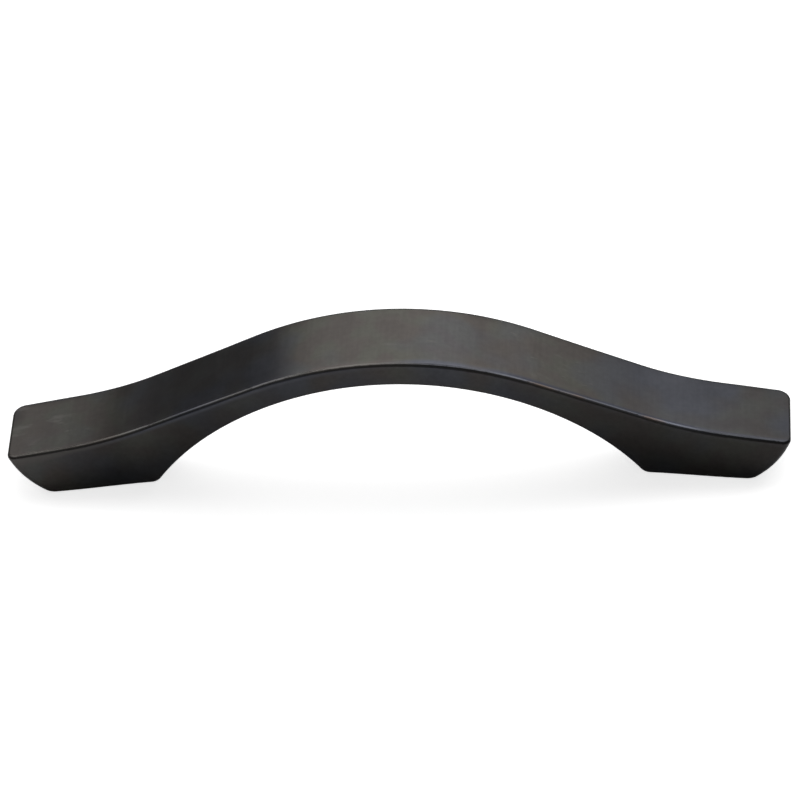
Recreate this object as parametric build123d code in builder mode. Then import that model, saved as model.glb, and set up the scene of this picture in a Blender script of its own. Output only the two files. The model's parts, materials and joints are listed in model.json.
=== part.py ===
from build123d import *
from math import asin, atan2, cos, degrees, hypot, radians, sin, sqrt, tan
import os

# Cast arch pull for a cabinet door or drawer, 96 mm between its screws.
# Millimetres and degrees. X runs from foot to foot, Y across the band, Z away from the door.
# The origin is on the door's face, midway between the two screws.

# Where the pull is screwed on: a blind hole for an M4 thread in each foot
SCREW_SPACING = 96.0
THREAD_CORE_DIAMETER = 3.3
THREAD_DEPTH = 7.0
DRILL_POINT_ANGLE = 118.0
LEAD_IN_DIAMETER = 4.2
LEAD_IN_ANGLE = 90.0

# Reach of each foot and tip, from its own screw
FOOT_INWARD = 9.3
FOOT_OUTWARD = 8.6
TIP_OUTWARD = 14.1

# Side view: a round crown, straight flanks, and ends that sweep out to straight tips
CROWN_HEIGHT = 26.0
CROWN_THICKNESS = 4.5
CROWN_RADIUS = 54.0
FLANK_LENGTH = 18.0
SWEEP_RADIUS = 63.0
TIP_ANGLE = 11.0
TIP_HEIGHT = 7.68
END_FACE_RADIUS = 16.0
FOOT_INNER_ROUND = 1.8

# Across the band: widths of the outer face, and how far the sides below it lean in
CROWN_WIDTH = 14.0
FOOT_WIDTH = 13.0
CROWN_LEAN = 3.5
INNER_FOOT_LEAN = 10.5
OUTER_FOOT_LEAN = 2.5

# Rounding: the two far corners of the outer face are rounder than the two near ones
FAR_CORNER_ROUND = 2.0
NEAR_CORNER_ROUND = 1.4
OUTER_EDGE_ROUND = 0.5
UNDER_EDGE_ROUND = 0.4

SCREW_X = SCREW_SPACING / 2
FOOT_IN_X = SCREW_X - FOOT_INWARD
FOOT_OUT_X = SCREW_X + FOOT_OUTWARD
TIP_X = SCREW_X + TIP_OUTWARD
TOOL_MARGIN = 2.0
TOLERANCE = 0.01

# The flank touches the crown's arc from above and the sweep's from below, so its length sets how far
# apart their centres are. What the sweep leaves of the tip's line is the straight run of the tip.
along_tip = Vector(cos(radians(TIP_ANGLE)), -sin(radians(TIP_ANGLE)))
off_tip = Vector(sin(radians(TIP_ANGLE)), cos(radians(TIP_ANGLE)))
crown_centre = Vector(0, CROWN_HEIGHT - CROWN_RADIUS)
radii = CROWN_RADIUS + SWEEP_RADIUS
centre_distance = hypot(radii, FLANK_LENGTH)
to_sweep_at_tip = Vector(TIP_X, TIP_HEIGHT) + SWEEP_RADIUS * off_tip - crown_centre
tip_length = to_sweep_at_tip.dot(along_tip) - sqrt(centre_distance**2 - to_sweep_at_tip.dot(off_tip) ** 2)
to_sweep = to_sweep_at_tip - tip_length * along_tip
flank_angle = degrees(asin(radii / centre_distance) - atan2(to_sweep.Y, to_sweep.X))
crown_end = crown_centre + CROWN_RADIUS * Vector(sin(radians(flank_angle)), cos(radians(flank_angle)))
flank_end = crown_end + FLANK_LENGTH * Vector(cos(radians(flank_angle)), -sin(radians(flank_angle)))
sweep_centre = crown_centre + to_sweep
sweep_end = sweep_centre - SWEEP_RADIUS * off_tip


def outer_face_height(x):
    """Height of the outer face above the door, at a distance x from the middle."""
    if x <= crown_end.X:
        return crown_centre.Y + sqrt(CROWN_RADIUS**2 - x**2)
    if x <= flank_end.X:
        return crown_end.Y - (x - crown_end.X) * tan(radians(flank_angle))
    if x <= sweep_end.X:
        return sweep_centre.Y - sqrt(SWEEP_RADIUS**2 - (x - sweep_centre.X) ** 2)
    return TIP_HEIGHT + (TIP_X - x) * tan(radians(TIP_ANGLE))


def half_width(station, height):
    """Half of the band's width at a height above the door, at one of the stations below."""
    x, width, lean = station
    return width / 2 - (outer_face_height(x) - height) * tan(radians(lean))


def band_faces(pull, side):
    """Faces that run across the band, on its outer (1) or door (-1) side: not the two long sides."""
    crossing = pull.faces().filter_by(lambda face: abs(face.normal_at().Y) < abs(face.normal_at().Z))
    return crossing.filter_by(lambda face: face.normal_at().Z * side > 0)


def end_corner_edges(pull):
    """Edges of the two end faces, which close the tips and lean in towards the door."""
    end_faces = band_faces(pull, -1).filter_by(lambda face: abs(face.center().X) > FOOT_OUT_X)
    return end_faces.edges()


def rim_edges(faces):
    """Edges round a chain of faces, without the lines across the band where one face meets the next."""
    return ShapeList(edge for edge in faces.edges() if sum(edge in face.edges() for face in faces) == 1)


# Distance from the middle, width of the outer face and lean of the sides, from the crown outward
stations = [
    (0, CROWN_WIDTH, CROWN_LEAN),
    (FOOT_IN_X / 2, (3 * CROWN_WIDTH + FOOT_WIDTH) / 4, (CROWN_LEAN + INNER_FOOT_LEAN) / 2),
    (FOOT_IN_X, FOOT_WIDTH, INNER_FOOT_LEAN),
    (FOOT_OUT_X, FOOT_WIDTH, OUTER_FOOT_LEAN),
    (TIP_X + TOOL_MARGIN, FOOT_WIDTH, OUTER_FOOT_LEAN),
]

with BuildPart() as arch_pull:
    # Side view, drawn as one half and mirrored, then given more than the band's width
    with BuildSketch(Plane.XZ) as side_view:
        with BuildLine():
            crown = JernArc((0, CROWN_HEIGHT), (1, 0), CROWN_RADIUS, -flank_angle)
            flank = Line(crown @ 1, crown @ 1 + FLANK_LENGTH * (crown % 1))
            sweep_arc = JernArc(flank @ 1, flank % 1, SWEEP_RADIUS, flank_angle - TIP_ANGLE)
            tip = Line(sweep_arc @ 1, (TIP_X, TIP_HEIGHT))
            RadiusArc(tip @ 1, (FOOT_OUT_X, 0), END_FACE_RADIUS)
            Line((FOOT_OUT_X, 0), (FOOT_IN_X, 0))
            mirror(about=Plane.YZ)
            ThreePointArc((FOOT_IN_X, 0), (0, CROWN_HEIGHT - CROWN_THICKNESS), (-FOOT_IN_X, 0))
        make_face()
        inner_foot_corners = side_view.vertices().filter_by(lambda v: abs(abs(v.X) - FOOT_IN_X) < TOLERANCE)
        fillet(inner_foot_corners, FOOT_INNER_ROUND)
    extrude(amount=CROWN_WIDTH, both=True)

    # Leaning sides: lofted through upright sections that reach past the part above and below
    bottom, top = -TOOL_MARGIN, CROWN_HEIGHT + TOOL_MARGIN
    sections = [(-station[0], station) for station in reversed(stations[1:])]
    sections += [(station[0], station) for station in stations]
    for x, station in sections:
        with BuildSketch(Plane.YZ.offset(x)):
            low, high = half_width(station, bottom), half_width(station, top)
            Polygon((-low, bottom), (low, bottom), (high, top), (-high, top), align=None)
    loft(mode=Mode.INTERSECT)

    # Upright corners where the end faces meet the sides, far ones first
    fillet(end_corner_edges(arch_pull).group_by(Axis.Y)[-1], FAR_CORNER_ROUND)
    fillet(end_corner_edges(arch_pull).group_by(Axis.Y)[0], NEAR_CORNER_ROUND)

    # Rim of the outer face, then both rims of the arch's underside and round each footprint
    fillet(rim_edges(band_faces(arch_pull, 1)), OUTER_EDGE_ROUND)
    under_faces = band_faces(arch_pull, -1).filter_by(lambda face: abs(face.center().X) < FOOT_OUT_X)
    fillet(rim_edges(under_faces), UNDER_EDGE_ROUND)

    # Blind hole in each foot, with a drill point and a lead-in at the door's face
    core_radius = THREAD_CORE_DIAMETER / 2
    point_depth = core_radius / tan(radians(DRILL_POINT_ANGLE / 2))
    with Locations(*[Plane((x, 0, 0), z_dir=(0, 0, -1)) for x in (-SCREW_X, SCREW_X)]):
        CounterSinkHole(core_radius, LEAD_IN_DIAMETER / 2, THREAD_DEPTH, LEAD_IN_ANGLE)
        with Locations((0, 0, -THREAD_DEPTH)):
            above = (Align.CENTER, Align.CENTER, Align.MAX)
            Cone(0, core_radius, point_depth, align=above, mode=Mode.SUBTRACT)

arch_pull.part.label = "arch_pull"
os.makedirs("parts", exist_ok=True)
export_step(arch_pull.part, "parts/arch_pull.step")
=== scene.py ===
import json
import math

import bmesh
import bpy
from bpy.props import FloatProperty, FloatVectorProperty, IntProperty, PointerProperty
from bpy.types import Operator, Panel, PropertyGroup
from mathutils import Matrix, Vector


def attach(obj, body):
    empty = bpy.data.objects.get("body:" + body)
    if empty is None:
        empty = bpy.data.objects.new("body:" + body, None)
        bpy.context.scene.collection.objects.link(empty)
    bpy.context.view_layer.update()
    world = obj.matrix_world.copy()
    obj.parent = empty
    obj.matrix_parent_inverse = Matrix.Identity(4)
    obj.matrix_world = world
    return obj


bl_info = {
    "name": "Arch Pull",
    "version": (1, 0, 0),
    "blender": (4, 5, 0),
    "location": "3D View > Sidebar > Arch Pull",
    "description": "Finishes a cast arch pull in dark bronze, cuts its threads and sets its studio",
    "category": "Object",
}

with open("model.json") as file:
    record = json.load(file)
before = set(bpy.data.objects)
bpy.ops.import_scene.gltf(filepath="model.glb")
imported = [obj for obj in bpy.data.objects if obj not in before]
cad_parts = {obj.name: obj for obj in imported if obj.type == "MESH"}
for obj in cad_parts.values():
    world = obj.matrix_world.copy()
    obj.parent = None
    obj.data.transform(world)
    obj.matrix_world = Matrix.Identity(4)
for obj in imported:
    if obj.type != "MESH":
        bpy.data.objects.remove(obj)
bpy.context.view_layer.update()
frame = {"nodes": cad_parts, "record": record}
screw_holes = next(mount for mount in frame["record"]["mounts"] if mount["name"] == "screw_holes")

MM = 0.001
WHITE = (1, 1, 1, 1)

# Sockets of a Mix node that carry colours, which share their names with its other sockets
COLOUR_INPUTS = (6, 7)
COLOUR_OUTPUT = 2


def mm(*lengths):
    """Lengths in millimetres, as metres."""
    return tuple(length * MM for length in lengths)


# Stretches along the pull, from its middle: each fades in over the first two places and out over the
# last two
LEFT_BEND = mm(-60, -54, -50, -46)
LEFT_RIM = mm(-56, -50, -32, -26)
LEFT_SLOPE = mm(-52, -38, -24, -12)
LEFT_KNEE = mm(-45, -41, -41, -33)
RIGHT_SLOPE = mm(12, 26, 42, 50)
RIGHT_RUB = mm(14, 20, 24, 30)

# Soft changes along the pull, from its middle
LEFT_RUB = mm(-62, -42)
LEFT_TIP_EDGE = mm(-61.5, -58.5)
LEFT_SIDE = mm(-60, -42)
LEFT_FAR_EDGE = mm(-56, -44)
LEFT_TIP_WARM = mm(-54, -44)
# Where the left tip's painted light fades out
PAINTED_LEFT_TIP_LIGHT = mm(-48, -28)
STRIPE_NARROWS = mm(-60, -50)
STRIPE_TURNS_BLUE = mm(-52, -38)
STRIPE_FADES = mm(-28, 5)
NEAR_EDGE_OILS = mm(-10, 8)
RIGHT_HALF = mm(-8, 8)
BLUE_EDGE = mm(2, 18)
RIGHT_TIP_OILS = mm(26, 44)
RIGHT_TIP_CLEARS = mm(46, 60)
# Where the right tip's painted shade fades in
PAINTED_RIGHT_TIP_SHADE = mm(44, 58)

# Soft changes across the band, from its middle line, and one up from the door
NEAR_EDGE = mm(-6.4, -5.2)
FAR_HALF = mm(-1, 4)
FAR_EDGE = mm(4.8, 6.2)
# Height over which the crown's painted highlight fades in
PAINTED_SHEEN_HEIGHT = mm(15, 25)

# Which way a surface faces: its normal's part across the band, or up from the door
SIDE_STEEPNESS = (0.9, 0.97)
FACE_UPWARD = (0.8, 0.95)
SPOT_UPWARD = (0.6, 0.9)
STRIPE_STEEPNESS = (0.85, 0.95)
RIM_STEEPNESS = (0.05, 0.25, 0.75, 0.95)
RIM_UPWARD = (0.1, 0.4)
PAINTED_UNDER_RIM_UPWARD = (0.0, 0.2, 0.65, 0.85)
NEAR_SIDE = (-0.5, -0.3)

# Noise: what nearly all of it lies between, and where its lumps begin and are full
NOISE_SPREAD = (0.3, 0.7)
CLOUD_BORDER = (0.4, 0.6)
PATCH_BORDER = (0.35, 0.65)
SPOT_BORDER = (0.62, 0.8)
SPOT_CLUSTER = (0.5, 0.62)
COPPER_BORDER = (0.44, 0.56)
SPOT_SIZE = 1.2 * MM
COPPER_SIZE = 7 * MM

# How noise is drawn out: below 1 makes its lumps longer in that direction
BRUSH_DRAW = (1, 0.06, 1)
SPOT_DRAW = (0.3, 1, 1)
COPPER_DRAW = (1, 0.1, 0.1)

# How oily the plating is: 0 is brown and olive, 1 is blue-grey
LEFT_SLOPE_OIL = 0.8
LEFT_TIP_OIL = -0.3
RIGHT_TIP_OIL = (0.9, 0.6)
SIDE_OIL = 0.5
LEFT_SIDE_OIL = -0.6
PATCH_OIL = (-0.4, 0.4)

# Shades of the plating: a range about 1, or what is added to 1. Beyond the clouds, grain and brush marks
# they are painted light and shade
CLOUD_SHADE = (0.93, 1.07)
GRAIN_SHADE = (0.96, 1.04)
BRUSH_SHADE = (0.97, 1.03)
# Painted highlight along the crown's near edge, and a darker near edge on the right slope
PAINTED_NEAR_EDGE_HIGHLIGHT = 0.15
RIGHT_SLOPE_EDGE_DARKER = -0.66
# Painted light at the left knee and on the left tip's sides, painted shade at the left corner and bend
PAINTED_LEFT_KNEE_LIGHT = 0.3
PAINTED_LEFT_CORNER_SHADE = -0.25
PAINTED_LEFT_BEND_SHADE = -0.12
PAINTED_LEFT_SIDE_LIGHT = 0.4
# Painted shade of the dark line under the near rims' crest
PAINTED_UNDER_RIM_SHADE = -0.6

# What is added to the noise of the rubbed spots, at the left tip and right of the crown
LEFT_RUB_STRENGTH = 0.14
RIGHT_RUB_STRENGTH = 0.08

# How fully the spots, the painted light stripe and the rims cover the plating, from 0 to 1, and what is
# added for the right and left rims
SPOT_COVER = 0.55
STRIPE_COVER = 0.9
RIM_COVER = 0.5
RIGHT_RIM_COVER = 0.35
LEFT_RIM_COVER = -0.4

# The painted light stripe, below the rim: where it fades in, where it starts to fade out, its lower border
# at the tip and further in, and how much of it is left at the right
STRIPE_TOP = mm(0.25, 0.45)
STRIPE_WANES = 0.5 * MM
STRIPE_BOTTOM = mm(3.2, 1.5)
STRIPE_RIGHT_SHARE = 0.1

# Roughness added by clouds, spots and rims, and how high brush marks are beside the grain
CLOUD_ROUGHNESS = (-0.01, 0.01)
SPOT_ROUGHNESS = 0.04
RIM_ROUGHNESS = -0.08
BRUSH_RELIEF = 0.5

# Thread: how far its root is sunk into the bore's wall, the root's share of the pitch, and the share of
# its length over which it fades at each end
ROOT_SUNK = 0.04 * MM
ROOT_SHARE = 0.75
THREAD_FADE = 0.04

# Where the room in reflections changes, by the part of a direction that points back, right or up
PALE_BEHIND = (-0.3, 0.3)
PALE_RIGHT = (-0.45, 0.0)
PALE_ABOVE = (0.15, 0.4)
FRONT_RISE = (0.05, 0.6)
FRONT_TO_BACK = (0.05, 0.45)

# Floor: its paint, and how far it lies under the feet, which then share no plane with it
FLOOR_PAINT = (0.8, 0.8, 0.8, 1)
FLOOR_GAP = 0.02 * MM


class CurveSettings(PropertyGroup):
    """Side view of the band, which the painted light stripe under its rim follows."""

    crown_height: FloatProperty(
        name="Crown Height",
        description="Top of the bow above the door",
        subtype="DISTANCE",
        unit="LENGTH",
        default=26.0 * MM,
    )
    crown_radius: FloatProperty(
        name="Crown Radius",
        description="Radius of the crown",
        subtype="DISTANCE",
        unit="LENGTH",
        default=54.0 * MM,
    )
    crown_reach: FloatProperty(
        name="Crown Reach",
        description="Middle of the pull to the end of the crown's arc",
        subtype="DISTANCE",
        unit="LENGTH",
        default=22.05 * MM,
    )
    flank_reach: FloatProperty(
        name="Flank Reach",
        description="Middle of the pull to the end of the straight flank",
        subtype="DISTANCE",
        unit="LENGTH",
        default=38.48 * MM,
    )
    crown_width: FloatProperty(
        name="Crown Width",
        description="Width of the outer face at the crown",
        subtype="DISTANCE",
        unit="LENGTH",
        default=14 * MM,
    )
    taper: FloatProperty(
        name="Taper",
        description="How much nearer to the middle each edge of the outer face is at the feet",
        subtype="DISTANCE",
        unit="LENGTH",
        default=0.5 * MM,
    )
    flank_slope: FloatProperty(
        name="Flank Slope", description="Slope of the flank", subtype="ANGLE", default=math.radians(24.1)
    )
    sweep_reach: FloatProperty(
        name="Sweep Reach",
        description="Middle of the pull to the end of the arc that sweeps out to the tip",
        subtype="DISTANCE",
        unit="LENGTH",
        default=52.19 * MM,
    )
    tip_slope: FloatProperty(
        name="Tip Slope", description="Slope of the tip", subtype="ANGLE", default=math.radians(11)
    )


class BronzeSettings(PropertyGroup):
    """Colours and surface of the oil-rubbed bronze plating."""

    brown: FloatVectorProperty(
        name="Brown Plating",
        description="Brown-grey of the plating",
        subtype="COLOR",
        size=3,
        default=(0.063, 0.057, 0.053),
    )
    olive: FloatVectorProperty(
        name="Olive Plating",
        description="Grey with a trace of green, between the brown clouds",
        subtype="COLOR",
        size=3,
        default=(0.060, 0.059, 0.052),
    )
    cold: FloatVectorProperty(
        name="Cold Plating",
        description="Blue-grey of the patches where the oil finish is thickest",
        subtype="COLOR",
        size=3,
        default=(0.052, 0.054, 0.063),
    )
    copper: FloatVectorProperty(
        name="Worn Copper",
        description="Copper undercoat that shows through on the rims of the right slope",
        subtype="COLOR",
        size=3,
        default=(0.15, 0.11, 0.09),
    )
    # Painted shade: darkens the rims at the right, off the slope
    painted_dark_rim: FloatVectorProperty(
        name="Painted Dark Rim",
        description="Dark blue-grey of the rims at the right, off the slope",
        subtype="COLOR",
        size=3,
        default=(0.028, 0.029, 0.033),
    )
    # Also the pale grey of the painted highlight on the left rims and of the painted light stripe's left end
    scuff_and_sheen: FloatVectorProperty(
        name="Scuffs and Sheen",
        description="Pale grey of the small rubbed spots",
        subtype="COLOR",
        size=3,
        default=(0.105, 0.099, 0.094),
    )
    # Painted light: colour of the stripe under the rim and of the painted highlight on the right slope's
    # rims
    stripe: FloatVectorProperty(
        name="Painted Light Stripe",
        description="Pale blue-grey of the side just under the rim, towards the left end",
        subtype="COLOR",
        size=3,
        default=(0.100, 0.104, 0.122),
    )
    blue: FloatVectorProperty(
        name="Blue Edge",
        description="Deep blue of the oil that gathers along the near edge of the right slope",
        subtype="COLOR",
        size=3,
        default=(0.050, 0.057, 0.082),
    )
    # Painted highlight: the crown's colour is brightened towards its top
    painted_crown_sheen: FloatProperty(
        name="Painted Crown Sheen",
        description="How much brighter the crown is, where hands have rubbed it",
        default=0.22,
        min=0,
        max=1,
    )
    # Painted light at the left tip and painted shade at the right tip
    painted_left_end_light: FloatProperty(
        name="Left End", description="Shade of the left tip, where the middle's is 1", default=1.02
    )
    painted_right_end_shade: FloatProperty(
        name="Right End", description="Shade of the right tip, where the middle's is 1", default=0.80
    )
    roughness: FloatProperty(
        name="Roughness", description="Mean roughness of the satin", default=0.29, min=0, max=1
    )
    patch_size: FloatProperty(
        name="Patch Size",
        description="Width of the soft warm and cold patches",
        subtype="DISTANCE",
        unit="LENGTH",
        default=10 * MM,
    )
    brush_size: FloatProperty(
        name="Brush Size",
        description="Width of the faint brush marks that run across the band",
        subtype="DISTANCE",
        unit="LENGTH",
        default=0.6 * MM,
    )
    grain_size: FloatProperty(
        name="Grain Size",
        description="Width of the casting's fine grain under the plating",
        subtype="DISTANCE",
        unit="LENGTH",
        default=0.9 * MM,
    )
    grain_height: FloatProperty(
        name="Grain Height",
        description="Height of the fine grain",
        subtype="DISTANCE",
        unit="LENGTH",
        default=0.0025 * MM,
        precision=6,
    )
    roll_width: FloatProperty(
        name="Roll Width",
        description="How far in from its edges the outer face starts to fall away",
        subtype="DISTANCE",
        unit="LENGTH",
        default=1.6 * MM,
    )
    roll_depth: FloatProperty(
        name="Roll Depth",
        description="How far the outer face falls at its edges",
        subtype="DISTANCE",
        unit="LENGTH",
        default=0.05 * MM,
        precision=6,
    )


class ThreadSettings(PropertyGroup):
    """Size of the screw thread in each foot."""

    pitch: FloatProperty(
        name="Pitch",
        description="Height of one turn of an M4 thread",
        subtype="DISTANCE",
        unit="LENGTH",
        default=0.7 * MM,
    )
    start: FloatProperty(
        name="Start",
        description="Depth of the first turn below the foot's face",
        subtype="DISTANCE",
        unit="LENGTH",
        default=0.75 * MM,
    )
    turns: FloatProperty(name="Turns", description="Turns of thread in each hole", default=8.0, min=1)
    ridge: FloatProperty(
        name="Ridge",
        description="How far the thread's crest stands out of the bore's wall",
        subtype="DISTANCE",
        unit="LENGTH",
        default=0.2 * MM,
    )
    crest: FloatProperty(
        name="Crest",
        description="Width of the flat on the thread's crest",
        subtype="DISTANCE",
        unit="LENGTH",
        default=0.09 * MM,
    )
    steps: IntProperty(name="Steps", description="Steps in one turn of the thread", default=48, min=8)


class StageSettings(PropertyGroup):
    """Camera, soft light and pale floor."""

    elevation: FloatProperty(
        name="Elevation",
        description="Camera above the horizon",
        subtype="ANGLE",
        default=math.radians(40.25),
    )
    turn: FloatProperty(
        name="Turn",
        description="Camera round the pull, towards its right end",
        subtype="ANGLE",
        default=math.radians(5.55),
    )
    roll: FloatProperty(
        name="Roll",
        description="Tilt of the camera about its own line of sight",
        subtype="ANGLE",
        default=math.radians(4.75),
    )
    distance: FloatProperty(
        name="Distance",
        description="Camera to the point it looks at",
        subtype="DISTANCE",
        unit="LENGTH",
        default=0.9,
    )
    aim: FloatVectorProperty(
        name="Aim",
        description="Point that the camera looks at",
        subtype="TRANSLATION",
        unit="LENGTH",
        size=3,
        default=(0.565 * MM, 0, 12.78 * MM),
    )
    lens: FloatProperty(
        name="Lens", description="Focal length in millimetres", unit="CAMERA", default=256.8
    )
    floor_size: FloatProperty(
        name="Floor Size",
        description="Side of the square floor",
        subtype="DISTANCE",
        unit="LENGTH",
        default=8.0,
    )
    panel_distance: FloatProperty(
        name="Panel Distance",
        description="Soft panels to the pull",
        subtype="DISTANCE",
        unit="LENGTH",
        default=2.4,
    )
    key_azimuth: FloatProperty(
        name="Key Azimuth",
        description="Direction of the brighter panel behind the pull, towards its right end",
        subtype="ANGLE",
        default=math.radians(-9.6),
    )
    key_size: FloatVectorProperty(
        name="Key Size",
        description="Width and height of the brighter panel",
        unit="LENGTH",
        size=2,
        default=(1.75, 1.87),
    )
    key_level: FloatProperty(name="Key Level", description="Brightness of the brighter panel", default=1.3)
    fill_azimuth: FloatProperty(
        name="Fill Azimuth",
        description="Direction of the dimmer panel behind the pull, towards its right end",
        subtype="ANGLE",
        default=math.radians(43),
    )
    fill_size: FloatVectorProperty(
        name="Fill Size",
        description="Width and height of the dimmer panel",
        unit="LENGTH",
        size=2,
        default=(1.81, 2.13),
    )
    fill_level: FloatProperty(name="Fill Level", description="Brightness of the dimmer panel", default=1.32)
    panel_elevation: FloatProperty(
        name="Panel Elevation",
        description="Height of both panels above the horizon",
        subtype="ANGLE",
        default=math.radians(48),
    )
    top_azimuth: FloatProperty(
        name="Top Azimuth",
        description="Direction of the strip overhead",
        subtype="ANGLE",
        default=math.radians(-17),
    )
    top_elevation: FloatProperty(
        name="Top Elevation",
        description="Height of the strip overhead above the horizon",
        subtype="ANGLE",
        default=math.radians(76),
    )
    top_size: FloatVectorProperty(
        name="Top Size",
        description="Length and width of the strip overhead",
        unit="LENGTH",
        size=2,
        default=(3.87, 0.75),
    )
    top_level: FloatProperty(name="Top Level", description="Brightness of the strip overhead", default=1.7)
    edge_azimuth: FloatProperty(
        name="Edge Azimuth",
        description="Direction of the small panel at the left, which lights the left slope's rim",
        subtype="ANGLE",
        default=math.radians(-64),
    )
    edge_elevation: FloatProperty(
        name="Edge Elevation",
        description="Height of the small panel above the horizon",
        subtype="ANGLE",
        default=math.radians(42),
    )
    edge_size: FloatVectorProperty(
        name="Edge Size",
        description="Width and height of the small panel",
        unit="LENGTH",
        size=2,
        default=(1.0, 0.9),
    )
    edge_level: FloatProperty(name="Edge Level", description="Brightness of the small panel", default=1.6)
    room_level: FloatProperty(
        name="Room Level", description="Brightness of the room as it lights the floor", default=0.18
    )
    mirror_level: FloatProperty(
        name="Mirror Level",
        description="Brightness in reflections of the room high up behind the pull, at the right",
        default=0.18,
    )
    dark_level: FloatProperty(
        name="Dark Level",
        description="Brightness in reflections of the rest of the room behind the pull",
        default=0.14,
    )
    front_level: FloatVectorProperty(
        name="Front Level",
        description="Brightness in reflections of the room in front, at the horizon and high up",
        size=2,
        default=(0.25, 0.65),
    )
    floor_glow: FloatProperty(
        name="Floor Glow", description="What makes the pale floor white to the camera", default=0.72
    )


class Wire:
    """A shader socket. Arithmetic on it adds Math nodes."""

    def __init__(self, tree, socket):
        self.tree, self.socket = tree, socket

    def __add__(self, other):
        return self.tree.math("ADD", self, other)

    def __sub__(self, other):
        return self.tree.math("SUBTRACT", self, other)

    def __rsub__(self, other):
        return self.tree.math("SUBTRACT", other, self)

    def __mul__(self, other):
        return self.tree.math("MULTIPLY", self, other)

    def __abs__(self):
        return self.tree.math("ABSOLUTE", self)

    __radd__ = __add__
    __rmul__ = __mul__


class NodeTree:
    """A node tree being built."""

    def __init__(self, tree):
        self.tree = tree
        self.tree.nodes.clear()

    def add(self, kind, settings=None, sockets=None, output=0):
        """Adds a node of this type, sets it up, fills or links its sockets, and gives one of its outputs."""
        node = self.tree.nodes.new(kind)
        for name, value in (settings or {}).items():
            setattr(node, name, value)
        for name, value in (sockets or {}).items():
            if isinstance(value, Wire):
                self.tree.links.new(value.socket, node.inputs[name])
            else:
                node.inputs[name].default_value = value
        return Wire(self, node.outputs[output]) if node.outputs else node

    def math(self, operation, *values):
        """Arithmetic on numbers."""
        return self.add("ShaderNodeMath", {"operation": operation}, dict(enumerate(values)))

    def stretched(self, vector, factors):
        """A vector with each of its parts multiplied by a number of its own."""
        return self.add("ShaderNodeVectorMath", {"operation": "MULTIPLY"}, {0: vector, 1: factors})

    def shaded(self, colour, shade):
        """A colour made darker by a shade below 1, or lighter by one above."""
        return self.add("ShaderNodeVectorMath", {"operation": "SCALE"}, {0: colour, "Scale": shade})

    def split(self, vector):
        """The X, Y and Z wires of a vector."""
        first = self.add("ShaderNodeSeparateXYZ", None, {"Vector": vector})
        return [Wire(self, socket) for socket in first.socket.node.outputs]

    def ramp(self, value, low, high, start=0.0, end=1.0):
        """Smooth step of a value: start up to low, end from high on."""
        sockets = {"Value": value, "From Min": low, "From Max": high, "To Min": start, "To Max": end}
        return self.add("ShaderNodeMapRange", {"interpolation_type": "SMOOTHSTEP"}, sockets)

    def stretch(self, value, places, peak=1.0):
        """Fades in from the first place to the second, and out from the third to the fourth."""
        begins, full, wanes, ends = places
        return self.ramp(value, begins, full) * self.ramp(value, wanes, ends, peak, 0.0)

    def mix(self, factor, first, second):
        """Colour that goes from the first to the second as the factor goes from 0 to 1."""
        sockets = {0: factor, COLOUR_INPUTS[0]: first, COLOUR_INPUTS[1]: second}
        return self.add("ShaderNodeMix", {"data_type": "RGBA"}, sockets, COLOUR_OUTPUT)

    def noise(self, position, size, detail=2.0, roughness=0.5):
        """Soft noise from 0 to 1 with lumps of this size."""
        sockets = {"Vector": position, "Scale": 1 / size, "Detail": detail, "Roughness": roughness}
        return self.add("ShaderNodeTexNoise", {"noise_dimensions": "3D"}, sockets)

    def seen(self):
        """1 on a ray from the camera, straight or through glass, and 0 on any other."""
        rays = "ShaderNodeLightPath"
        return self.add(rays, output="Is Camera Ray") + self.add(rays, output="Is Transmission Ray")


def opaque(colour):
    """A settings colour with an alpha of 1."""
    return (*colour, 1.0)


def rim_height(tree, along, curve):
    """Height of the band's outer face above the door at a distance along the pull."""
    reach = abs(along)
    on_crown = tree.math("MINIMUM", reach, curve.crown_reach)
    rise = tree.math("SQRT", curve.crown_radius**2 - on_crown * on_crown)
    on_flank = tree.math("MAXIMUM", tree.math("MINIMUM", reach, curve.flank_reach) - curve.crown_reach, 0.0)
    on_sweep = tree.math("MAXIMUM", tree.math("MINIMUM", reach, curve.sweep_reach) - curve.flank_reach, 0.0)
    on_tip = tree.math("MAXIMUM", reach - curve.sweep_reach, 0.0)
    flank, tip = math.tan(curve.flank_slope), math.tan(curve.tip_slope)
    easing = (flank - tip) / (2 * (curve.sweep_reach - curve.flank_reach))
    fall = on_flank * flank + on_sweep * flank - on_sweep * on_sweep * easing + on_tip * tip
    return rise + (curve.crown_height - curve.crown_radius) - fall


class Places:
    """Where a point of the casting is, as wires that the parts of its finish share."""

    def __init__(self, tree, settings):
        self.position = tree.add("ShaderNodeTexCoord", output="Object")
        self.along, self.across, self.height = tree.split(self.position)
        normal = tree.add("ShaderNodeTexCoord", output="Normal")
        _, self.facing_y, self.facing_z = tree.split(normal)
        self.steepness = abs(self.facing_y)
        self.on_side = tree.ramp(self.steepness, *SIDE_STEEPNESS)
        self.on_face = tree.ramp(self.facing_z, *FACE_UPWARD)
        self.near_edge = tree.ramp(self.across, *NEAR_EDGE, 1.0, 0.0) * self.on_face
        self.right_slope = tree.stretch(self.along, RIGHT_SLOPE)
        self.left_side = tree.ramp(self.along, *LEFT_SIDE, 1.0, 0.0) * self.on_side
        tip_edge = tree.ramp(self.along, *LEFT_TIP_EDGE, 1.0, 0.0) * tree.ramp(self.across, *FAR_HALF)
        far_edge = tree.ramp(self.across, *FAR_EDGE) * tree.ramp(self.along, *LEFT_FAR_EDGE, 1.0, 0.0)
        self.left_corner = tree.math("MAXIMUM", tip_edge, far_edge) * self.on_face
        self.mottle = tree.noise(self.position, settings.patch_size / 2, detail=1.0)
        self.grain = tree.noise(self.position, settings.grain_size, detail=2.0)
        drawn = tree.stretched(self.position, BRUSH_DRAW)
        self.brushed = tree.noise(drawn, settings.brush_size, detail=3.0)


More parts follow.
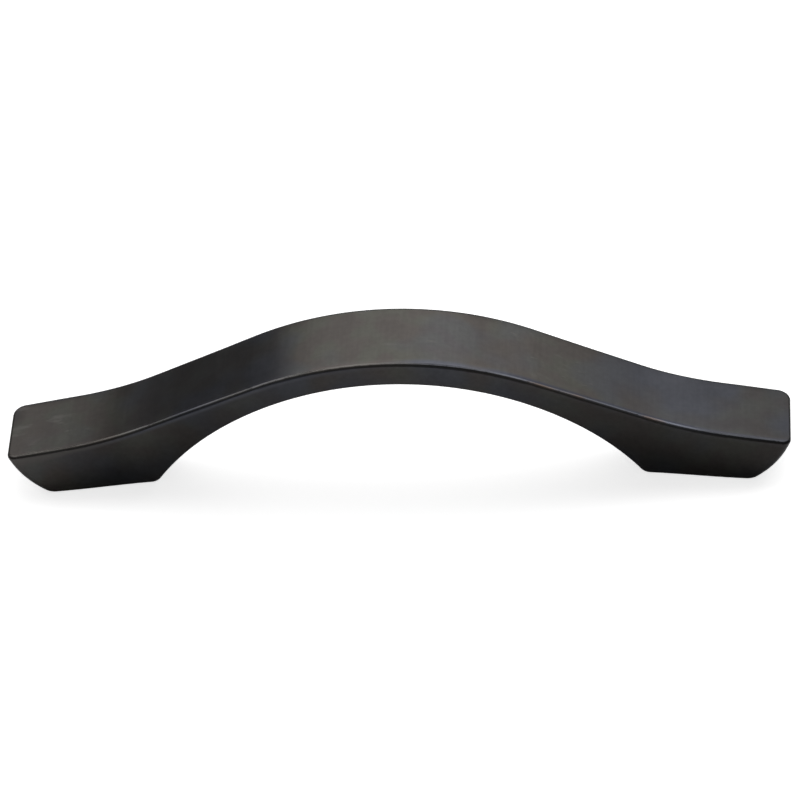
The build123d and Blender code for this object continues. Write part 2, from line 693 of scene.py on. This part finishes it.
def plating_colour(tree, at, settings):
    """Brown and olive clouds, blue-grey where the oil finish is thick."""
    oily = tree.stretch(at.along, LEFT_SLOPE) * LEFT_SLOPE_OIL
    oily = oily + tree.ramp(at.along, *LEFT_TIP_WARM, LEFT_TIP_OIL, 0.0)
    right_tip = tree.ramp(at.along, *RIGHT_TIP_CLEARS, *RIGHT_TIP_OIL)
    oily = oily + tree.ramp(at.along, *RIGHT_TIP_OILS) * right_tip
    oily = oily + (SIDE_OIL - oily) * at.on_side + at.near_edge * tree.ramp(at.along, *NEAR_EDGE_OILS)
    oily = oily + at.left_corner + at.left_side * LEFT_SIDE_OIL
    patches = tree.ramp(tree.noise(at.position, settings.patch_size, detail=1.0), *PATCH_BORDER, *PATCH_OIL)
    warm = tree.mix(tree.ramp(at.mottle, *CLOUD_BORDER), opaque(settings.brown), opaque(settings.olive))
    plating = tree.mix(oily + patches, warm, opaque(settings.cold))
    blue_edge = at.near_edge * tree.ramp(at.along, *BLUE_EDGE) * at.right_slope
    return tree.mix(blue_edge, plating, opaque(settings.blue))


def plating_shade(tree, at, settings):
    """How light the plating is: clouds, grain and brush marks, and painted light and shade that make parts
    paler or darker.
    """
    shade = tree.ramp(at.mottle, *NOISE_SPREAD, *CLOUD_SHADE)
    shade = shade * tree.ramp(at.grain, *NOISE_SPREAD, *GRAIN_SHADE)
    shade = shade * tree.ramp(at.brushed, *NOISE_SPREAD, *BRUSH_SHADE)
    # Painted light at the left tip and painted shade at the right tip
    shade = shade * tree.ramp(at.along, *PAINTED_LEFT_TIP_LIGHT, settings.painted_left_end_light, 1.0)
    shade = shade * tree.ramp(at.along, *PAINTED_RIGHT_TIP_SHADE, 1.0, settings.painted_right_end_shade)
    # Painted highlight, brightest at the top of the crown
    shade = shade * (tree.ramp(at.height, *PAINTED_SHEEN_HEIGHT) * settings.painted_crown_sheen + 1)
    # Painted highlight along the crown's near edge, and a darker near edge on the right slope
    shade = shade * (at.near_edge * (PAINTED_NEAR_EDGE_HIGHLIGHT + at.right_slope * RIGHT_SLOPE_EDGE_DARKER) + 1)
    # Painted light at the left knee and on the left tip's sides, painted shade at the left corner and bend
    shade = shade * (tree.stretch(at.along, LEFT_KNEE) * PAINTED_LEFT_KNEE_LIGHT + 1)
    shade = shade * (at.left_corner * PAINTED_LEFT_CORNER_SHADE + 1)
    shade = shade * (tree.stretch(at.along, LEFT_BEND) * at.on_face * PAINTED_LEFT_BEND_SHADE + 1)
    return shade * (at.left_side * PAINTED_LEFT_SIDE_LIGHT + 1)


def rubbed_spots(tree, at):
    """Small pale spots, thickest at the left tip and right of the crown."""
    spots = tree.noise(tree.stretched(at.position, SPOT_DRAW), SPOT_SIZE, detail=3.0)
    rubbed = tree.ramp(at.along, *LEFT_RUB, LEFT_RUB_STRENGTH, 0.0)
    rubbed = rubbed + tree.stretch(at.along, RIGHT_RUB, RIGHT_RUB_STRENGTH)
    spots = tree.ramp(spots + rubbed, *SPOT_BORDER) * tree.ramp(at.mottle + rubbed, *SPOT_CLUSTER)
    return spots * tree.ramp(at.facing_z, *SPOT_UPWARD)


def painted_light_stripe(tree, at, curve):
    """Painted light: a pale stripe on the sides just under the rim, widest at the left tip and nearly gone
    right of the middle.
    """
    below_rim = rim_height(tree, at.along, curve) - at.height
    bottom = tree.ramp(at.along, *STRIPE_NARROWS, *STRIPE_BOTTOM)
    stripe = tree.ramp(below_rim, *STRIPE_TOP) * tree.ramp(below_rim, STRIPE_WANES, bottom, 1.0, 0.0)
    stripe = stripe * tree.ramp(at.steepness, *STRIPE_STEEPNESS)
    return stripe * tree.ramp(at.along, *STRIPE_FADES, 1.0, STRIPE_RIGHT_SHARE)


def rim_wear_and_sheen_colour(tree, at, settings, right_half):
    """Rims: rubbed grey that also paints a highlight at the left, painted dark at the right, and a pale
    painted highlight with worn copper on the right slope.
    """
    rim_wear_and_sheen = tree.mix(at.right_slope, opaque(settings.painted_dark_rim), opaque(settings.stripe))
    rim_wear_and_sheen = tree.mix(right_half, opaque(settings.scuff_and_sheen), rim_wear_and_sheen)
    copper = tree.noise(tree.stretched(at.position, COPPER_DRAW), COPPER_SIZE, detail=2.0) * at.right_slope
    return tree.mix(tree.ramp(copper, *COPPER_BORDER), rim_wear_and_sheen, opaque(settings.copper))


def surface_relief(tree, at, settings, curve):
    """Height of the cast grain and brush marks, and the outer face's soft fall towards its long edges."""
    half_width = curve.crown_width / 2 - tree.ramp(abs(at.along), 0.0, curve.flank_reach) * curve.taper
    closeness = tree.math("MAXIMUM", 1 - (half_width - abs(at.across)) * (1 / settings.roll_width), 0.0)
    grain = (at.grain + at.brushed * BRUSH_RELIEF) * settings.grain_height
    return grain - closeness * closeness * at.on_face * settings.roll_depth


def dark_bronze(settings, curve):
    """Satin oil-rubbed bronze: patchy plating over a fine cast grain, rubbed in places, worn on its rims,
    with painted light and shade.
    """
    material = bpy.data.materials.new("dark_bronze")
    material.use_nodes = True
    tree = NodeTree(material.node_tree)
    at = Places(tree, settings)

    plating = tree.shaded(plating_colour(tree, at, settings), plating_shade(tree, at, settings))
    spots = rubbed_spots(tree, at)
    plating = tree.mix(spots * SPOT_COVER, plating, opaque(settings.scuff_and_sheen))
    bluer = tree.ramp(at.along, *STRIPE_TURNS_BLUE)
    stripe_colour = tree.mix(bluer, opaque(settings.scuff_and_sheen), opaque(settings.stripe))
    # Painted light: a pale stripe on the sides just under the rim
    plating = tree.mix(painted_light_stripe(tree, at, curve) * STRIPE_COVER, plating, stripe_colour)

    # Rims: wear, and a painted highlight that is pale at the left and on the right slope and dark at the
    # right
    rim = tree.stretch(at.steepness, RIM_STEEPNESS) * tree.ramp(at.facing_z, *RIM_UPWARD)
    right_half = tree.ramp(at.along, *RIGHT_HALF)
    cover = right_half * (1 - at.right_slope) * RIGHT_RIM_COVER + RIM_COVER
    cover = cover + tree.stretch(at.along, LEFT_RIM) * LEFT_RIM_COVER
    colour = tree.mix(rim * cover, plating, rim_wear_and_sheen_colour(tree, at, settings, right_half))
    # Painted shade: the lower half of the near rims is darkened into a dark line under their crest
    painted_shade_under_rim = tree.stretch(at.facing_z, PAINTED_UNDER_RIM_UPWARD) * tree.ramp(at.facing_y, *NEAR_SIDE, 1.0, 0.0)
    colour = tree.shaded(colour, painted_shade_under_rim * PAINTED_UNDER_RIM_SHADE + 1)

    roughness = tree.ramp(at.mottle, *NOISE_SPREAD, *CLOUD_ROUGHNESS) + settings.roughness
    roughness = roughness + spots * SPOT_ROUGHNESS + rim * RIM_ROUGHNESS
    relief = surface_relief(tree, at, settings, curve)
    bump = tree.add("ShaderNodeBump", None, {"Strength": 1.0, "Distance": 1.0, "Height": relief})
    sockets = {"Base Color": colour, "Metallic": 1.0, "Roughness": roughness, "Normal": bump}
    surface = tree.add("ShaderNodeBsdfPrincipled", None, sockets)
    tree.add("ShaderNodeOutputMaterial", None, {"Surface": surface})
    return material


def thread_tree(material):
    """Geometry nodes that wind one thread in each screw hole: a ridge that fades in and out at its ends."""
    group = bpy.data.node_groups.new("screw_threads", "GeometryNodeTree")
    group.interface.new_socket("Geometry", in_out="OUTPUT", socket_type="NodeSocketGeometry")
    for name in ("Bore Radius", "Spacing", "Pitch", "Start", "Turns", "Ridge", "Crest"):
        group.interface.new_socket(name, in_out="INPUT", socket_type="NodeSocketFloat")
    group.interface.new_socket("Steps", in_out="INPUT", socket_type="NodeSocketInt")
    tree = NodeTree(group)
    given = tree.add("NodeGroupInput")
    sizes = {socket.name: Wire(tree, socket) for socket in given.socket.node.outputs}
    radius = sizes["Bore Radius"] + ROOT_SUNK
    depth = sizes["Ridge"] + ROOT_SUNK
    helix = tree.add(
        "GeometryNodeCurveSpiral",
        None,
        {
            "Resolution": sizes["Steps"],
            "Rotations": sizes["Turns"],
            "Start Radius": radius,
            "End Radius": radius,
            "Height": sizes["Pitch"] * sizes["Turns"],
            "Reverse": True,
        },
    )
    helix = tree.add("GeometryNodeSetCurveNormal", {"mode": "Z_UP"}, {"Curve": helix})
    ridge = tree.add(
        "GeometryNodeCurvePrimitiveQuadrilateral",
        {"mode": "TRAPEZOID"},
        {
            "Height": depth,
            "Bottom Width": sizes["Pitch"] * ROOT_SHARE,
            "Top Width": sizes["Crest"],
            "Offset": 0.0,
        },
    )
    moved = tree.add("ShaderNodeCombineXYZ", None, {"Y": depth * 0.5})
    ridge = tree.add("GeometryNodeTransform", None, {"Geometry": ridge, "Translation": moved})
    upright = (0, 0, math.radians(90))
    ridge = tree.add("GeometryNodeTransform", None, {"Geometry": ridge, "Rotation": upright})
    way = tree.add("GeometryNodeSplineParameter")
    fade = tree.stretch(way, (0.0, THREAD_FADE, 1 - THREAD_FADE, 1.0))
    sweep = {"Curve": helix, "Profile Curve": ridge, "Scale": fade, "Fill Caps": True}
    thread = tree.add("GeometryNodeCurveToMesh", None, sweep)
    first = tree.add("ShaderNodeCombineXYZ", None, {"X": sizes["Spacing"] * -0.5, "Z": sizes["Start"]})
    step = tree.add("ShaderNodeCombineXYZ", None, {"X": sizes["Spacing"]})
    holes = tree.add("GeometryNodeMeshLine", None, {"Count": 2, "Start Location": first, "Offset": step})
    threads = tree.add("GeometryNodeInstanceOnPoints", None, {"Points": holes, "Instance": thread})
    threads = tree.add("GeometryNodeRealizeInstances", None, {"Geometry": threads})
    threads = tree.add("GeometryNodeSetMaterial", None, {"Geometry": threads, "Material": material})
    tree.add("NodeGroupOutput", None, {"Geometry": threads})
    return group


def baked(context, name, group, sizes):
    """Plain object made by a geometry node tree with these sizes."""
    maker = bpy.data.objects.new(name + "_maker", bpy.data.meshes.new(name + "_maker"))
    context.scene.collection.objects.link(maker)
    modifier = maker.modifiers.new("nodes", "NODES")
    modifier.node_group = group
    for socket in group.interface.items_tree:
        if socket.in_out == "INPUT":
            modifier[socket.identifier] = sizes[socket.name]
    evaluated = maker.evaluated_get(context.evaluated_depsgraph_get())
    mesh = bpy.data.meshes.new_from_object(evaluated)
    mesh.name = name
    bpy.data.objects.remove(maker)
    piece = bpy.data.objects.new(name, mesh)
    context.scene.collection.objects.link(piece)
    return piece


def direction(azimuth, elevation):
    """Unit vector at an azimuth from +Y towards +X and an elevation above the horizon."""
    flat = math.cos(elevation)
    return Vector((math.sin(azimuth) * flat, math.cos(azimuth) * flat, math.sin(elevation)))


def add_camera(context, settings):
    """Camera that looks down at the pull's front, rolled a little to the left."""
    sight = direction(-settings.turn, -settings.elevation)
    right = sight.cross(Vector((0, 0, 1))).normalized()
    up = right.cross(sight)
    roll = Matrix.Rotation(settings.roll, 3, sight)
    right, up = roll @ right, roll @ up
    camera = bpy.data.objects.new("camera", bpy.data.cameras.new("camera"))
    camera.data.lens = settings.lens
    camera.data.clip_start, camera.data.clip_end = 0.01, 100
    place = Vector(settings.aim) - sight * settings.distance
    camera.matrix_world = Matrix.LocRotScale(place, Matrix((right, up, -sight)).transposed(), None)
    context.scene.collection.objects.link(camera)
    context.scene.camera = camera


def add_panel(context, settings, name, towards, size, level):
    """Soft panel that faces the pull, as bright as a white surface at a level of 1."""
    light = bpy.data.lights.new(name, "AREA")
    light.shape = "RECTANGLE"
    light.size, light.size_y = size
    light.energy = level * math.pi * light.size * light.size_y
    panel = bpy.data.objects.new(name, light)
    rotation = towards.to_track_quat("Z", "Y")
    panel.matrix_world = Matrix.LocRotScale(towards * settings.panel_distance, rotation, None)
    context.scene.collection.objects.link(panel)


def light_room(context, settings):
    """Room that is plain white to the camera, and darker in reflections, above all behind the pull."""
    world = bpy.data.worlds.new("studio")
    world.use_nodes = True
    tree = NodeTree(world.node_tree)
    x, y, z = tree.split(tree.add("ShaderNodeTexCoord", output="Generated"))
    pale_side = tree.ramp(y, *PALE_BEHIND) * tree.ramp(x, *PALE_RIGHT) * tree.ramp(z, *PALE_ABOVE)
    behind = pale_side * (settings.mirror_level - settings.dark_level) + settings.dark_level
    in_front = tree.ramp(z, *FRONT_RISE, *settings.front_level)
    mirror = in_front + (behind - in_front) * tree.ramp(y, *FRONT_TO_BACK)
    seen, mirrored = tree.seen(), tree.add("ShaderNodeLightPath", output="Is Glossy Ray")
    strength = seen + mirrored * mirror + (1 - seen - mirrored) * settings.room_level
    background = tree.add("ShaderNodeBackground", None, {"Strength": strength, "Color": WHITE})
    tree.add("ShaderNodeOutputWorld", None, {"Surface": background})
    context.scene.world = world


def add_floor(context, settings):
    """Pale floor under the feet, white to the camera and clear from below."""
    mesh = bpy.data.meshes.new("floor")
    sheet = bmesh.new()
    bmesh.ops.create_grid(sheet, x_segments=1, y_segments=1, size=settings.floor_size / 2)
    bmesh.ops.translate(sheet, vec=(0, 0, -FLOOR_GAP), verts=sheet.verts)
    sheet.to_mesh(mesh)
    sheet.free()
    material = bpy.data.materials.new("pale_floor")
    material.use_nodes = True
    tree = NodeTree(material.node_tree)
    paint = tree.add("ShaderNodeBsdfDiffuse", None, {"Color": FLOOR_PAINT})
    glow = tree.seen() * settings.floor_glow
    glow = tree.add("ShaderNodeEmission", None, {"Color": WHITE, "Strength": glow})
    pale = tree.add("ShaderNodeAddShader", None, {0: paint, 1: glow})
    clear = tree.add("ShaderNodeBsdfTransparent")
    below = tree.add("ShaderNodeNewGeometry", output="Backfacing")
    surface = tree.add("ShaderNodeMixShader", None, {0: below, 1: pale, 2: clear})
    tree.add("ShaderNodeOutputMaterial", None, {"Surface": surface})
    mesh.materials.append(material)
    floor = bpy.data.objects.new("floor", mesh)
    context.scene.collection.objects.link(floor)


class OBJECT_OT_pull_finish(Operator):
    """Finish the casting in dark bronze"""

    bl_idname = "object.pull_finish"
    bl_label = "Finish Casting"

    def execute(self, context):
        casting = frame["nodes"]["arch_pull"]
        casting.data.materials.clear()
        casting.data.materials.append(dark_bronze(context.scene.pull_bronze, context.scene.pull_curve))
        return {"FINISHED"}


class OBJECT_OT_pull_threads(Operator):
    """Cut the screw thread in both feet"""

    bl_idname = "object.pull_threads"
    bl_label = "Cut Threads"

    def execute(self, context):
        settings = context.scene.pull_thread
        sizes = {
            "Bore Radius": screw_holes["dims"]["hole_r_mm"] * MM,
            "Spacing": screw_holes["dims"]["spacing_x_mm"] * MM,
            "Pitch": settings.pitch,
            "Start": settings.start,
            "Turns": settings.turns,
            "Ridge": settings.ridge,
            "Crest": settings.crest,
            "Steps": settings.steps,
        }
        finish = frame["nodes"]["arch_pull"].data.materials[0]
        threads = baked(context, "screw_threads", thread_tree(finish), sizes)
        if not threads.data.polygons:
            raise RuntimeError("the thread came out empty")
        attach(threads, "root")
        return {"FINISHED"}


class SCENE_OT_pull_stage(Operator):
    """Set up the camera, the soft light and the pale floor"""

    bl_idname = "scene.pull_stage"
    bl_label = "Set Stage"

    def execute(self, context):
        settings = context.scene.pull_stage
        add_camera(context, settings)
        key = direction(settings.key_azimuth, settings.panel_elevation)
        fill = direction(settings.fill_azimuth, settings.panel_elevation)
        overhead = direction(settings.top_azimuth, settings.top_elevation)
        edge = direction(settings.edge_azimuth, settings.edge_elevation)
        add_panel(context, settings, "key_panel", key, settings.key_size, settings.key_level)
        add_panel(context, settings, "fill_panel", fill, settings.fill_size, settings.fill_level)
        add_panel(context, settings, "top_panel", overhead, settings.top_size, settings.top_level)
        add_panel(context, settings, "edge_panel", edge, settings.edge_size, settings.edge_level)
        light_room(context, settings)
        add_floor(context, settings)
        context.scene.view_settings.view_transform = "Standard"
        return {"FINISHED"}


class VIEW3D_PT_pull(Panel):
    """Arch pull tools"""

    bl_idname = "VIEW3D_PT_pull"
    bl_label = "Arch Pull"
    bl_space_type = "VIEW_3D"
    bl_region_type = "UI"
    bl_category = "Arch Pull"

    def draw(self, context):
        scene = context.scene
        steps = (
            (scene.pull_curve, None),
            (scene.pull_bronze, OBJECT_OT_pull_finish),
            (scene.pull_thread, OBJECT_OT_pull_threads),
            (scene.pull_stage, SCENE_OT_pull_stage),
        )
        for settings, operator in steps:
            box = self.layout.box()
            for name in settings.__annotations__:
                box.prop(settings, name)
            if operator:
                box.operator(operator.bl_idname)


CLASSES = (
    CurveSettings,
    BronzeSettings,
    ThreadSettings,
    StageSettings,
    OBJECT_OT_pull_finish,
    OBJECT_OT_pull_threads,
    SCENE_OT_pull_stage,
    VIEW3D_PT_pull,
)


def register():
    for cls in CLASSES:
        bpy.utils.register_class(cls)
    bpy.types.Scene.pull_curve = PointerProperty(type=CurveSettings)
    bpy.types.Scene.pull_bronze = PointerProperty(type=BronzeSettings)
    bpy.types.Scene.pull_thread = PointerProperty(type=ThreadSettings)
    bpy.types.Scene.pull_stage = PointerProperty(type=StageSettings)


def unregister():
    del bpy.types.Scene.pull_stage, bpy.types.Scene.pull_thread
    del bpy.types.Scene.pull_bronze, bpy.types.Scene.pull_curve
    for cls in reversed(CLASSES):
        bpy.utils.unregister_class(cls)


def main():
    register()
    bpy.ops.object.pull_finish()
    bpy.ops.object.pull_threads()
    bpy.ops.scene.pull_stage()


if __name__ == "__main__":
    main()
